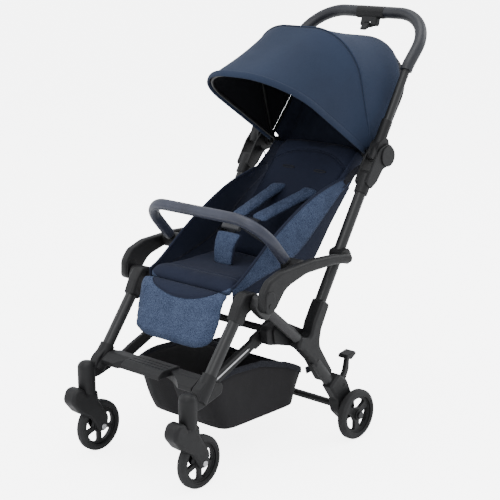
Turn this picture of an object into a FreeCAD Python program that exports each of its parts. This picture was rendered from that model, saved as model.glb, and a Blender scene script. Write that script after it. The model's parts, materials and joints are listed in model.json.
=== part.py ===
import FreeCAD, Part
import math
import os

# A folding baby stroller.  +X is the child's left, the child faces -Y, +Z is up and the
# ground is z = 0.  Lengths are millimetres, angles are degrees.  Side views are drawn in a
# frame whose y is zero at the front wheels' axles; origin_y moves the whole model so that
# the middle of its box stands over the origin.

Vec = FreeCAD.Vector
X_AXIS, Y_AXIS, Z_AXIS = Vec(1, 0, 0), Vec(0, 1, 0), Vec(0, 0, 1)
LEFT, RIGHT = 1, -1
SIDES = ((LEFT, "left"), (RIGHT, "right"))

# The driving dimensions: alias, value, meaning.
DIMENSIONS = (
    ("origin_y", 377.6, "middle of the stroller behind the front axles"),
    ("wheel_radius", 63.5, "all four tyres"),
    ("tyre_width", 24.0, "tyre width"),
    ("rim_radius", 51.0, "seat of the tyre on the rim"),
    ("front_track_half", 171.0, "front wheel centre from the middle"),
    ("rear_track_half", 251.0, "rear wheel centre from the middle"),
    ("wheelbase", 479.0, "front axle to rear axle"),
    ("swivel_trail", 33.0, "swivel axis ahead of the front axle"),
    ("axle_radius", 4.0, "wheel axle pins"),
    ("bore_play", 0.05, "running clearance on a pin"),
    ("fold_y", 166.0, "fold axis behind the front axle"),
    ("fold_z", 408.0, "fold axis above the ground"),
    ("hub_y", 338.0, "rear hub centre"),
    ("hub_z", 265.0, "rear hub centre"),
    ("lock_y", 632.0, "handle fold axis"),
    ("lock_z", 690.0, "handle fold axis"),
    ("leg_x", 172.0, "front leg tube axis"),
    ("push_x", 197.0, "push tube axis"),
    ("diagonal_x", 203.0, "diagonal tube axis"),
    ("tube_radius", 14.0, "frame tubes"),
    ("tube_wall", 1.5, "frame tube wall"),
    ("handle_tube_radius", 10.5, "upper handle tube"),
    ("grip_radius", 15.5, "padded grip"),
    ("grip_bend", 110.0, "grip corner bend radius"),
    ("seat_half", 134.0, "half of the seat width between its side panels"),
    ("calf_half", 139.5, "half of the calf rest's width"),
    ("crotch_half", 34.0, "half of the crotch pad's width"),
    ("fabric", 3.0, "thickness of a fabric shell"),
    ("gap", 0.5, "clearance between parts that move on each other"),
)


def make_sheet(doc):
    """Spreadsheet of the driving dimensions, one alias to a row."""
    sheet = doc.addObject("Spreadsheet::Sheet", "Dimensions")
    for row, (alias, value, meaning) in enumerate(DIMENSIONS, start=1):
        sheet.set("A%d" % row, alias)
        sheet.set("B%d" % row, str(value))
        sheet.set("C%d" % row, meaning)
        sheet.setAlias("B%d" % row, alias)
    doc.recompute()
    return sheet


DOC = FreeCAD.newDocument("stroller")
SHEET = make_sheet(DOC)


def dim(alias):
    """Value of one driving dimension."""
    return float(SHEET.get(alias))


def bind(target, **cells):
    """Tie properties of an object to expressions over the sheet's aliases."""
    for prop, expression in cells.items():
        target.setExpression(prop, expression)


NODES = []


def keep(thing, label):
    """Register a finished document object as one sub-part."""
    thing.Label = label
    NODES.append(thing)
    return thing


def at(x, y, z):
    """Point from the side-view frame in the model's frame."""
    return Vec(x, y - dim("origin_y"), z)


# ---------------------------------------------------------------- outlines and solids

def rounded_edges(points):
    """Edges of a closed outline of (u, v, corner radius) as lines and arcs, in a plane."""
    count = len(points)
    corners = []
    for i, (u, v, radius) in enumerate(points):
        here = Vec(u, v, 0)
        before = Vec(*points[i - 1][:2], 0) - here
        after = Vec(*points[(i + 1) % count][:2], 0) - here
        turn = before.getAngle(after)
        before.normalize()
        after.normalize()
        if radius == 0:
            corners.append((here, None, here))
            continue
        reach = radius / math.tan(turn / 2)
        middle = (before + after).normalize()
        centre = here + middle * (radius / math.sin(turn / 2))
        corners.append((here + before * reach, centre - middle * radius, here + after * reach))
    edges = []
    for i, (start, top, end) in enumerate(corners):
        if top is not None:
            edges.append(Part.Arc(start, top, end))
        following = corners[(i + 1) % count][0]
        if end.distanceToPoint(following) > 1e-6:
            edges.append(Part.LineSegment(end, following))
    return edges


def origin_plane(body, role):
    for feature in body.Origin.OriginFeatures:
        if feature.Role == role:
            return feature
    raise ValueError(role)


def new_sketch(body, role, edges):
    sketch = body.newObject("Sketcher::SketchObject", "Outline")
    sketch.AttachmentSupport = [(origin_plane(body, role), "")]
    sketch.MapMode = "FlatFace"
    for edge in edges:
        sketch.addGeometry(edge, False)
    return sketch


def padded_block(label, outline, width, rounding):
    """Block with a side-view outline, padded equally to both sides of the middle."""
    body = DOC.addObject("PartDesign::Body", label)
    sketch = new_sketch(body, "YZ_Plane", rounded_edges(outline))
    pad = body.newObject("PartDesign::Pad", "Width")
    pad.Profile = sketch
    pad.Midplane = True
    bind(pad, Length=width)
    bind(body, **{"Placement.Base.y": "-Dimensions.origin_y"})
    DOC.recompute()
    fillet = body.newObject("PartDesign::Fillet", "Softened")
    fillet.Base = (pad, end_loops(pad.Shape))
    fillet.Radius = rounding
    DOC.recompute()
    return keep(body, label)


def bound_tube(label, start, end, outer, inner):
    """Round tube between two points, its radii bound to expressions over the sheet."""
    placement = FreeCAD.Placement(start, FreeCAD.Rotation(Z_AXIS, end - start))
    layers = []
    for part, radius in (("Outside", outer), ("Inside", inner)):
        layer = DOC.addObject("Part::Cylinder", part)
        bind(layer, Radius=radius)
        layer.Height = start.distanceToPoint(end)
        layer.Placement = placement
        layers.append(layer)
    tube = DOC.addObject("Part::Cut", label)
    tube.Base, tube.Tool = layers
    DOC.recompute()
    return tube


FRAME_TUBE = ("Dimensions.tube_radius", "Dimensions.tube_radius - Dimensions.tube_wall")


def end_loops(shape):
    """Names of the edges round both flat ends of a pad that runs along X."""
    low, high = shape.BoundBox.XMin, shape.BoundBox.XMax
    names = []
    for number, edge in enumerate(shape.Edges, start=1):
        box = edge.BoundBox
        flat = box.XLength < 1e-3
        if flat and (abs(box.XMin - low) < 1e-3 or abs(box.XMax - high) < 1e-3):
            names.append("Edge%d" % number)
    return names


def side_range(side, inner, outer):
    """Low and high x of a layer given by its inner and outer distance from the middle."""
    return (inner, outer) if side == LEFT else (-outer, -inner)


def solid(label, shape):
    """Sub-part whose shape is worked out here from the sheet's values."""
    feature = DOC.addObject("Part::Feature", label)
    feature.Shape = shape
    return keep(feature, label)


def rod(start, end, radius):
    """Round bar between two points."""
    return Part.makeCylinder(radius, start.distanceToPoint(end), start, end - start)


def pipe(start, end, radius, wall):
    """Round tube between two points."""
    return rod(start, end, radius).cut(rod(start, end, radius - wall))


def box_between(low, high):
    size = high - low
    return Part.makeBox(size.x, size.y, size.z, low)


def prism(outline, x_low, x_high):
    """Solid with a side-view outline, from x_low to x_high."""
    flat = Part.Wire(Part.__sortEdges__([edge.toShape() for edge in rounded_edges(outline)]))
    face = Part.Face(flat)
    face.Placement = FreeCAD.Placement(at(x_low, 0, 0), FreeCAD.Rotation(Vec(1, 1, 1), 120))
    return face.extrude(X_AXIS * (x_high - x_low))


def soften(shape, radius, chosen):
    """Fillet the edges that the test picks."""
    edges = [edge for edge in shape.Edges if chosen(edge)]
    return shape.makeFillet(radius, edges) if edges else shape


def flat_ends(shape):
    """Test for the edges round the two x faces of a prism."""
    low, high = shape.BoundBox.XMin, shape.BoundBox.XMax

    def chosen(edge):
        box = edge.BoundBox
        if box.XLength > 1e-3:
            return False
        return abs(box.XMin - low) < 1e-3 or abs(box.XMax - high) < 1e-3
    return chosen


def soft_prism(outline, x_low, x_high, radius):
    shape = prism(outline, x_low, x_high)
    return soften(shape, radius, flat_ends(shape))


def between(start, end, share):
    """Point a share of the way from start to end, in the side view."""
    return (start[0] + (end[0] - start[0]) * share, start[1] + (end[1] - start[1]) * share)


# ---------------------------------------------------------------- side-view key points

FOLD = (dim("fold_y"), dim("fold_z"))
HUB = (dim("hub_y"), dim("hub_z"))
LOCK = (dim("lock_y"), dim("lock_z"))
REAR_AXLE = (dim("wheelbase"), dim("wheel_radius"))
FRONT_AXLE = (0.0, dim("wheel_radius"))
LEG_FOOT, LEG_HEAD = (13.0, 225.0), (141.0, 397.0)
BRACE_FOOT, BRACE_HEAD = (58.0, 226.0), (262.0, 312.0)
PUSH_SLOPE = 0.6187
PUSH_MIDDLE = (454.5, 452.5)
PUSH_FOOT_Z, PUSH_TOP_Z = 300.0, 628.0
HANDLE_TOP_Z = 905.0
GRIP_TOP = (845.0, 1022.5)

# Radii of the pins that parts turn on: frame and handle hinges, hood, brake, trigger.
HINGE_PIN, HOOD_PIN, PEDAL_PIN, TRIGGER_PIN = 6.0, 4.0, 4.0, 2.5


def push_line(z):
    """Side-view point of the push tube's axis at a height."""
    return (PUSH_MIDDLE[0] + (z - PUSH_MIDDLE[1]) * PUSH_SLOPE, z)


# ---------------------------------------------------------------- wheels

def turned(label, profile, centre):
    """Ring or hub turned about an axle that runs along X.  The profile is (x, radius).

    The centre is three expressions over the sheet."""
    body = DOC.addObject("PartDesign::Body", label)
    sketch = new_sketch(body, "XZ_Plane", rounded_edges(profile))
    turn = body.newObject("PartDesign::Revolution", "Turned")
    turn.Profile = sketch
    turn.ReferenceAxis = (sketch, ["H_Axis"])
    turn.Angle = 360
    bind(body, **{"Placement.Base." + axis: place for axis, place in zip("xyz", centre)})
    DOC.recompute()
    return body


def tyre(label, centre):
    half = dim("tyre_width") / 2
    seat, outer = dim("rim_radius"), dim("wheel_radius")
    shoulder = outer - 5.5
    profile = (
        (-half, seat, 0), (half, seat, 0), (half, shoulder, 4.0),
        (half * 0.55, outer, 5.0), (-half * 0.55, outer, 5.0), (-half, shoulder, 4.0),
    )
    return keep(turned(label, profile, centre), label)


def rim(label, centre, spokes):
    """Moulded rim with a dished web, cut into spokes by equal openings."""
    half = dim("tyre_width") / 2
    seat = dim("rim_radius")
    bore = dim("axle_radius") + dim("bore_play")
    hub_radius, web, flange = 13.0, 4.5, 4.0
    profile = (
        (-half, bore, 0), (half, bore, 0), (half, hub_radius, 1.5), (web, hub_radius, 2.0),
        (web, seat - flange, 2.0), (half - 1, seat - flange, 1.0), (half - 1, seat, 0),
        (1 - half, seat, 0), (1 - half, seat - flange, 1.0), (-web, seat - flange, 2.0),
        (-web, hub_radius, 2.0), (-half, hub_radius, 1.5),
    )
    body = turned(label, profile, centre)
    inner, outer = hub_radius + 6.0, seat - flange - 4.0
    pitch = math.radians(360.0 / spokes)
    spoke_half = 5.5 if spokes > 3 else 9.0
    window = []
    for radius, corner in ((inner, 3.5), (outer, 5.0)):
        swing = pitch / 2 - math.asin(spoke_half / radius)
        ends = ((radius * math.sin(-swing), radius * math.cos(swing)),
                (radius * math.sin(swing), radius * math.cos(swing)))
        window.append([(end[0], end[1], corner) for end in ends])
    outline = window[0] + [window[1][1], (0, outer * 1.02, outer * 0.6), window[1][0]]
    sketch = new_sketch(body, "YZ_Plane", rounded_edges(outline))
    pocket = body.newObject("PartDesign::Pocket", "Window")
    pocket.Profile = sketch
    pocket.Type = "ThroughAll"
    pocket.Midplane = True
    DOC.recompute()
    pattern = body.newObject("PartDesign::PolarPattern", "Windows")
    pattern.Originals = [pocket]
    pattern.Axis = (sketch, ["N_Axis"])
    pattern.Angle = 360
    pattern.Occurrences = spokes
    body.Tip = pattern
    DOC.recompute()
    return keep(body, label)


def axle(label, centre, half_length):
    """Axle pin with a low round head at each end."""
    head = 7.0
    profile = (
        (-half_length - 2, 0, 0), (half_length + 2, 0, 0), (half_length + 2, head, 1.2),
        (half_length, head, 0), (half_length, dim("axle_radius"), 0),
        (-half_length, dim("axle_radius"), 0), (-half_length, head, 0),
        (-half_length - 2, head, 1.2),
    )
    return keep(turned(label, profile, centre), label)


# ---------------------------------------------------------------- front frame

CASTER_RADIUS = 21.5
CASTER_LOW, CASTER_HIGH = 160.0, 236.0
FORK_HALF, ARM = 21.0, 6.0
STEM_RADIUS = 6.0
SLEEVE_RADIUS = 18.0
SPIGOT_RADIUS = 5.0


def caster_axis(side):
    return side * dim("front_track_half"), -dim("swivel_trail")


def caster_housing(side, name):
    """Domed swivel housing with the socket for the leg and the lug for the brace."""
    x, y = caster_axis(side)
    barrel = Part.makeCylinder(CASTER_RADIUS, CASTER_HIGH - CASTER_LOW, at(x, y, CASTER_LOW))
    barrel = soften(barrel, 17.0, lambda edge: edge.BoundBox.ZMin > CASTER_HIGH - 1)
    sleeve_low = (LEG_FOOT[0] - 13.0, LEG_FOOT[1] - 17.5)
    sleeve_high = between(LEG_FOOT, LEG_HEAD, 0.2)
    leg_x = side * dim("leg_x")
    sleeve = Part.makeCone(
        CASTER_RADIUS - 1.5, SLEEVE_RADIUS,
        at(0, *sleeve_low).distanceToPoint(at(0, *sleeve_high)),
        at(leg_x, *sleeve_low), at(0, *sleeve_high) - at(0, *sleeve_low))
    web = soft_prism(
        ((-36, 190, 6), (0, 192, 14), (66, 211, 12), (74, 238, 14), (48, 243, 12),
         (26, 262, 8), (-6, 240, 10)),
        *side_range(side, 158.0, 184.0), 5.0)
    lug = rod(at(side * 153.5, *BRACE_FOOT), at(side * 166.0, *BRACE_FOOT), 15.0)
    spigot = rod(at(side * 138.5, *BRACE_FOOT), at(side * 154.0, *BRACE_FOOT), SPIGOT_RADIUS)
    spigot_head = rod(at(side * 138.5, *BRACE_FOOT), at(side * 140.5, *BRACE_FOOT), 9.0)
    body = barrel.fuse([sleeve, web, lug, spigot, spigot_head]).removeSplitter()
    body = body.cut(rod(at(leg_x, *LEG_FOOT), at(leg_x, *LEG_HEAD), dim("tube_radius")))
    socket = Part.makeCylinder(STEM_RADIUS + dim("bore_play"), 50.0, at(x, y, CASTER_LOW))
    solid("caster_housing_" + name, body.cut(socket))


def caster_fork(side, name):
    """Two-armed fork on a swivel stem, with a rounded nose ahead of the stem."""
    x, y = caster_axis(side)
    low, high = x - FORK_HALF, x + FORK_HALF
    outline = (
        (-72, 116, 22), (-96, 146, 20), (-84, 176, 18), (-58, 176, 16), (-50, 159, 0),
        (-13, 159, 4), (-10, 132, 14), (20, 86, 18), (14, 50, 14), (-12, 52, 13),
        (-36, 92, 20),
    )
    body = soft_prism(outline, low, high, 9.0)
    seat = Part.makeCylinder(CASTER_RADIUS + 1.5, 60.0, at(x, y, CASTER_LOW - dim("gap")))
    room = dim("wheel_radius") + 4.0
    wheel_room = Part.makeCylinder(
        room, 2 * (FORK_HALF - ARM), at(low + ARM, *FRONT_AXLE), X_AXIS)
    neck = Part.makeCylinder(CASTER_RADIUS - 0.5, 22.0, at(x, y, CASTER_LOW - dim("gap") - 22.0))
    stem = Part.makeCylinder(STEM_RADIUS, 68.0, at(x, y, CASTER_LOW - 22.0))
    body = body.cut(seat).fuse(neck).cut(wheel_room).fuse(stem)
    bore = rod(at(low - 1, *FRONT_AXLE), at(high + 1, *FRONT_AXLE), dim("axle_radius"))
    return solid("caster_fork_" + name, body.cut(bore).removeSplitter())


def front_leg(side, name):
    x = side * dim("leg_x")
    keep(bound_tube("front_leg", at(x, *LEG_FOOT), at(x, *LEG_HEAD), *FRAME_TUBE),
         "front_leg_" + name)


def front_hub(side, name):
    """Elbow at the head of the leg, turning on the fold bolt."""
    outline = (
        (122, 408, 30), (142, 434, 24), (172, 430, 14), (188, 424, 14), (191, 402, 14),
        (168, 388, 14), (152, 383, 10), (132, 354, 6), (106, 374, 6),
    )
    body = soft_prism(outline, *side_range(side, 155.5, 188.5), 8.0)
    leg_x = side * dim("leg_x")
    body = body.cut(rod(at(leg_x, *LEG_FOOT), at(leg_x, *LEG_HEAD), dim("tube_radius")))
    bolt = rod(at(side * 150, *FOLD), at(side * 200, *FOLD), HINGE_PIN + dim("bore_play"))
    solid("front_hub_" + name, body.cut(bolt))


BRACE_IN, BRACE_OUT = 141.0, 153.0
TREAD_TOP = 256.0


def footrest():
    """Cross plate between the legs with a ribbed tread on top."""
    half = 152.0
    plate = soft_prism(
        ((-2, 222, 5), (-2, 236, 6), (20, 250, 20), (52, 250, 8), (56, 236, 6), (20, 226, 20)),
        -half, half, 3.0)
    narrow = Part.makeCylinder(190.0, 60.0, at(0, -158.0, 205.0))
    plate = plate.cut(narrow)
    for side, _ in SIDES:
        brace_low, brace_high = side_range(side, BRACE_IN - 1.5, half + 1.0)
        plate = plate.cut(box_between(at(brace_low, BRACE_FOOT[0] - 18.5, 200.0),
                                      at(brace_high, 80.0, 270.0)))
    tread_half = 64.0
    plate = plate.cut(box_between(at(-tread_half, -40, 238.0), at(tread_half, 60, 270.0)))
    solid("footrest_plate", plate)
    tread = soft_prism(((-20, 236, 3), (-20, 246, 5), (-6, TREAD_TOP, 20), (50, TREAD_TOP, 6),
                        (50, 238, 3), (-2, 238, 3)), -tread_half, tread_half, 2.0)
    for row in range(3):
        groove_y = 2.0 + 13.0 * row
        tread = tread.cut(box_between(at(-tread_half + 6, groove_y, TREAD_TOP - 2),
                                      at(tread_half - 6, groove_y + 2, TREAD_TOP + 1)))
    solid("footrest_tread", tread)


def brace(side):
    """Folding brace: a boss on the lug at its foot, an open hook over the crossbar."""
    low, high = side_range(side, BRACE_IN, BRACE_OUT)
    run = (BRACE_HEAD[0] - BRACE_FOOT[0], BRACE_HEAD[1] - BRACE_FOOT[1])
    length = math.hypot(*run)
    along = (run[0] / length, run[1] / length)
    across = (-along[1], along[0])

    def on_brace(distance, offset, radius):
        return (BRACE_FOOT[0] + along[0] * distance + across[0] * offset,
                BRACE_FOOT[1] + along[1] * distance + across[1] * offset, radius)

    outline = (
        on_brace(-13, -11, 9), on_brace(-13, 11, 9), on_brace(40, 14, 10),
        on_brace(length - 62, 12, 3), on_brace(length - 56, 17, 3), on_brace(length - 30, 17, 3),
        on_brace(length - 12, 21, 8), on_brace(length + 18, 21, 10), on_brace(length + 16, -9, 4),
        on_brace(length - 14, -15, 4), on_brace(length - 30, -17, 3),
        on_brace(length - 56, -17, 3), on_brace(length - 62, -12, 3), on_brace(40, -14, 10),
    )
    body = soft_prism(outline, low, high, 2.0)
    mouth = rod(at(low - 1, *BRACE_HEAD), at(high + 1, *BRACE_HEAD), BAR_RADIUS + 2 * dim("gap"))
    slot = prism([(BRACE_HEAD[0] + y, BRACE_HEAD[1] + z, 0) for y, z in
                  ((10.5, 0), (-10.5, 0), (-14, -12), (-22, -33), (-34, -54), (6, -54),
                   (6, -30), (10.5, -12))], low - 1, high + 1)
    pin = rod(at(side * 130.0, *BRACE_FOOT), at(side * 166.0, *BRACE_FOOT),
              SPIGOT_RADIUS + dim("bore_play"))
    return body.cut(mouth).cut(slot).cut(pin)


def braces():
    solid("braces", Part.makeCompound([brace(side) for side, _ in SIDES]))


# ---------------------------------------------------------------- chassis

DIAGONAL_HALF = 13.0
LEG_TOP, LEG_END = (368.0, 222.0), (446.0, 111.0)
REAR_LEG_X = (206.0, 222.0)
BAR_RADIUS = 9.0
CROSS_TUBE = (449.0, 88.0)
BLOCK_IN, BLOCK_OUT = 157.0, 181.5


def rear_leg(side, name):
    """Straight tube from the rear hub down and outward to the wheel bracket."""
    foot, head = at(side * REAR_LEG_X[1], *LEG_END), at(side * REAR_LEG_X[0], *LEG_TOP)
    keep(bound_tube("rear_leg", foot, head, *FRAME_TUBE), "rear_leg_" + name)


def rear_leg_rod(side):
    return rod(at(side * REAR_LEG_X[1], *LEG_END), at(side * REAR_LEG_X[0], *LEG_TOP),
               dim("tube_radius"))


def push_rod(side):
    x = side * dim("push_x")
    return rod(at(x, *push_line(PUSH_FOOT_Z)), at(x, *push_line(PUSH_TOP_Z)),
               dim("tube_radius"))


def diagonal_ends():
    return between(FOLD, HUB, 0.02), between(FOLD, HUB, 0.80)


def diagonal_rod(side):
    x = side * dim("diagonal_x")
    head, foot = diagonal_ends()
    return rod(at(x, *head), at(x, *foot), DIAGONAL_HALF)


def rear_hub(side, name):
    """Y-shaped connector that takes the diagonal, the push tube and the rear leg."""
    outline = (
        (292, 274, 12), (306, 298, 10), (340, 287, 12), (352, 322, 12), (384, 374, 8),
        (412, 356, 8), (382, 300, 30), (374, 262, 40), (428, 182, 8), (397, 158, 8),
        (352, 224, 40), (312, 262, 14),
    )
    body = soft_prism(outline, *side_range(side, 183.0, 219.0), 7.0)
    plate = soft_prism(
        ((246, 286, 12), (240, 322, 14), (266, 340, 14), (300, 326, 14), (352, 300, 10),
         (356, 262, 10), (300, 270, 20)),
        *side_range(side, BLOCK_OUT, 187.0), 1.5)
    bar = rod(at(side * 170.0, *BRACE_HEAD), at(side * 200.0, *BRACE_HEAD), BAR_RADIUS)
    body = body.fuse(plate)
    for tube in (rear_leg_rod(side), push_rod(side), diagonal_rod(side), bar):
        body = body.cut(tube)
    solid("rear_hub_" + name, body.removeSplitter())


def diagonal_tube(side, name):
    """Diagonal from the fold axis to the rear hub, with an eye round the fold bolt."""
    x = side * dim("diagonal_x")
    head, foot = diagonal_ends()
    bar = diagonal_rod(side)
    inner = rod(at(x, *between(FOLD, HUB, 0.22)), at(x, *foot), DIAGONAL_HALF - 2)
    eye_low, eye_high = side_range(side, 189.5, 216.0)
    eye = soft_prism(((148, 400, 14), (160, 430, 12), (190, 420, 14), (206, 384, 8),
                      (186, 362, 8), (160, 384, 14)), eye_low, eye_high, 5.0)
    low, high = side_range(side, 189.5, 216.5)
    room = box_between(at(low, 0, 0), at(high, 900, 900))
    bolt = rod(at(side * 150, *FOLD), at(side * 245, *FOLD), HINGE_PIN)
    shape = bar.cut(inner).fuse(eye).common(room).cut(bolt)
    solid("diagonal_tube_" + name, shape.removeSplitter())


def push_tube(side, name):
    x = side * dim("push_x")
    keep(bound_tube("push_tube", at(x, *push_line(PUSH_FOOT_Z)), at(x, *push_line(PUSH_TOP_Z)),
                    *FRAME_TUBE), "push_tube_" + name)


def hinge_disc(side, inner, outer, radius):
    return rod(at(side * inner, *LOCK), at(side * outer, *LOCK), radius)


def hinge_housing(side, name):
    """Collar at the top of the push tube with the two cheeks of the handle hinge."""
    x = side * dim("push_x")
    collar = rod(at(x, *push_line(606.0)), at(x, *push_line(648.0)), 17.5)
    cheek_outline = (
        (566, 616, 8), (548, 634, 8), (584, 690, 16), (606, 712, 16), (640, 724, 24),
        (662, 700, 26), (656, 668, 24), (616, 660, 16), (590, 630, 8),
    )
    outer_cheek = soft_prism(cheek_outline, *side_range(side, 211.0, 217.0), 2.0)
    inner_cheek = soft_prism(cheek_outline, *side_range(side, 177.0, 183.0), 2.0)
    floor = prism(((560, 622, 6), (550, 636, 6), (568, 662, 4), (590, 651, 4), (578, 630, 6)),
                  *side_range(side, 182.0, 212.0))
    body = collar.fuse([outer_cheek, inner_cheek, floor]).cut(push_rod(side))
    pin = rod(at(side * 170, *LOCK), at(side * 230, *LOCK), HINGE_PIN)
    solid("hinge_housing_" + name, body.cut(pin).removeSplitter())


def upper_hinge(side, name):
    """Knuckle of the upper handle, turning between the cheeks of the hinge housing."""
    x = side * dim("push_x")
    gap = dim("gap")
    knuckle = rod(at(side * (183.0 + gap), *LOCK), at(side * (211.0 - gap), *LOCK), 21.0)
    neck = rod(at(x, *push_line(683.0)), at(x, *push_line(776.0)), 14.0)
    neck = soften(neck, 3.0, lambda edge: edge.BoundBox.ZMin > 755)
    web = prism(((590, 684, 8), (604, 724, 8), (640, 742, 14), (646, 716, 10), (652, 684, 18),
                 (628, 671, 16)), *side_range(side, 183.0 + gap, 211.0 - gap))
    body = knuckle.fuse([neck, web])
    body = body.cut(rod(at(x, *push_line(735.0)), at(x, *push_line(790.0)),
                        dim("handle_tube_radius")))
    low, high = side_range(side, 183.0 + gap, 211.0 - gap)
    body = body.common(box_between(at(low, 500, 600), at(high, 900, 900)))
    pin = rod(at(side * 170, *LOCK), at(side * 230, *LOCK), HINGE_PIN + dim("bore_play"))
    solid("upper_hinge_" + name, body.cut(pin).removeSplitter())


def armrest(side, name):
    """Curved armrest outside the frame, with a socket for the bumper bar on its inside."""
    outline = (
        (147, 398, 20), (144, 438, 30), (166, 466, 30), (212, 482, 50), (318, 488, 80),
        (400, 484, 60), (476, 474, 12), (470, 452, 8), (400, 460, 60), (300, 458, 80),
        (226, 438, 60), (192, 396, 20), (168, 386, 18),
    )
    shell = soft_prism(outline, *side_range(side, 218.0, 240.0), 8.0)
    boss = soft_prism(((149, 390, 15), (151, 442, 13), (180, 442, 13), (185, 390, 15)),
                      *side_range(side, 217.0, 243.0), 2.5)
    bracket = soft_prism(((452, 451, 6), (446, 480, 10), (474, 486, 8), (486, 470, 8),
                          (478, 444, 8)), *side_range(side, 180.0, 224.0), 3.0)
    socket = soft_prism(((276, 456, 8), (271, 480, 8), (292, 491, 8), (323, 482, 8),
                         (326, 458, 8), (301, 450, 12)), *side_range(side, 176.0, 226.0), 4.0)
    body = shell.fuse([boss, bracket, socket])
    body = body.cut(push_rod(side)).cut(bumper_plug(side, dim("gap")))
    bolt = rod(at(side * 150, *FOLD), at(side * 245, *FOLD), HINGE_PIN)
    solid("armrest_" + name, body.cut(bolt).removeSplitter())


PEDAL_PIVOT = (447.0, 146.0)


def rear_bracket(side, name):
    """Foot of the rear leg that carries the wheel's axle and the cross tube."""
    outline = (
        (408, 162, 6), (431, 177, 6), (463, 154, 12), (484, 112, 14), (496, 84, 20),
        (496, 50, 18), (462, 46, 18), (430, 76, 20), (424, 112, 12), (396, 151, 5),
    )
    body = soft_prism(outline, *side_range(side, 205.0, 236.0), 6.0)
    body = body.cut(rear_leg_rod(side))
    body = body.cut(rod(at(side * 150, *CROSS_TUBE), at(side * 228, *CROSS_TUBE), BAR_RADIUS))
    pin = rod(at(side * 210, *REAR_AXLE), at(side * 270, *REAR_AXLE), dim("axle_radius"))
    pedal_pin = rod(at(side * 200, *PEDAL_PIVOT), at(side * 240, *PEDAL_PIVOT), PEDAL_PIN)
    slot_low, slot_high = side_range(side, 215.0, 227.0)
    slot = box_between(at(slot_low, PEDAL_PIVOT[0] - 11, PEDAL_PIVOT[1] - 10),
                       at(slot_high, 500, 200))
    body = body.cut(pin)
    if side == LEFT:
        body = body.cut(slot).cut(pedal_pin)
    solid("rear_bracket_" + name, body.removeSplitter())


def rear_axle():
    """Cross tube between the brackets and the two stub axles of the rear wheels."""
    half = 228.0
    tube = pipe(at(-half, *CROSS_TUBE), at(half, *CROSS_TUBE), BAR_RADIUS, dim("tube_wall"))
    stubs = []
    for side, _ in SIDES:
        pin = rod(at(side * 210, *REAR_AXLE), at(side * 266, *REAR_AXLE), dim("axle_radius"))
        cap = rod(at(side * 263.5, *REAR_AXLE), at(side * 268, *REAR_AXLE), 9.0)
        stubs.append(pin.fuse(cap))
    solid("rear_axle", Part.makeCompound([tube] + stubs))


def crossbar():
    """Bar under the seat that stiffens the frame and stops the braces, with end blocks."""
    half = 187.0
    body = rod(at(-half, *BRACE_HEAD), at(half, *BRACE_HEAD), BAR_RADIUS)
    for side, _ in SIDES:
        block = soft_prism(((226, 288, 10), (222, 328, 12), (262, 336, 10), (300, 322, 12),
                            (306, 282, 12), (262, 280, 10)),
                           *side_range(side, BLOCK_IN, BLOCK_OUT), 3.0)
        body = body.fuse(block)
    solid("crossbar", body.removeSplitter())


def frame_bolts():
    """Fold bolts, brace pins, handle hinge pins and the brake's pin, as one group."""
    bolts = []
    for side, _ in SIDES:
        fold = rod(at(side * 153.6, *FOLD), at(side * 244, *FOLD), HINGE_PIN)
        fold_head = rod(at(side * 153.6, *FOLD), at(side * 155.4, *FOLD), 10.0)
        bolts.append(fold.fuse(fold_head))
        lock = rod(at(side * 175, *LOCK), at(side * 219, *LOCK), HINGE_PIN)
        cover = rod(at(side * 217, *LOCK), at(side * 221, *LOCK), 26.0)
        cover = soften(cover, 1.5, lambda edge: abs(edge.BoundBox.XMax) > 220.5)
        bolts.append(lock.fuse(cover))
    bolts.append(rod(at(207, *PEDAL_PIVOT), at(235, *PEDAL_PIVOT), PEDAL_PIN))
    solid("frame_bolts", Part.makeCompound(bolts))


def brake_pedal():
    """Foot pedal on the left rear leg."""
    low, high = 215.0 + dim("gap"), 227.0 - dim("gap")
    arm = soft_prism(((451, 139, 5), (439, 148, 5), (446, 160, 6), (462, 170, 24),
                      (472, 208, 4), (482, 206, 4), (480, 176, 24), (468, 152, 14),
                      (460, 140, 6)), low, high, 2.0)
    pad = soft_prism(((458, 208, 4), (462, 217, 4), (492, 222, 4), (497, 214, 4),
                      (478, 203, 4)), 206.0, 236.0, 2.5)
    pin = rod(at(200, *PEDAL_PIVOT), at(240, *PEDAL_PIVOT), PEDAL_PIN + dim("bore_play"))
    solid("brake_pedal", arm.fuse(pad).cut(pin).removeSplitter())


# ---------------------------------------------------------------- handle

def bent_path(points, bends):
    """Edges of an open path through points, each inner corner rounded by its bend radius."""
    edges = []
    here = points[0]
    for before, corner, after, bend in zip(points, points[1:], points[2:], bends):
        back = (before - corner).normalize()
        ahead = (after - corner).normalize()
        half_turn = back.getAngle(ahead) / 2
        reach = bend / math.tan(half_turn)
        middle = (back + ahead).normalize()
        top = corner + middle * (bend / math.sin(half_turn) - bend)
        start, end = corner + back * reach, corner + ahead * reach
        edges.append(Part.LineSegment(here, start))
        edges.append(Part.Arc(start, top, end))
        here = end
    edges.append(Part.LineSegment(here, points[-1]))
    return edges


def swept(points, bends, radius):
    """Round bar along a bent path."""
    wire = Part.Wire([edge.toShape() for edge in bent_path(points, bends)])
    ring = Part.makeCircle(radius, points[0], points[1] - points[0])
    return wire.makePipeShell([Part.Wire(ring)], True, True)


KINK_BEND = 90.0
HANDLE_FOOT_Z = 735.0


def handle_corners(half, foot_z):
    """Corners of the upper handle, from the foot of its right tube to that of its left."""
    side_points = (push_line(foot_z), push_line(HANDLE_TOP_Z), GRIP_TOP)
    right = [at(-half, *point) for point in side_points]
    left = [at(half, *point) for point in reversed(side_points)]
    return right + left


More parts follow.
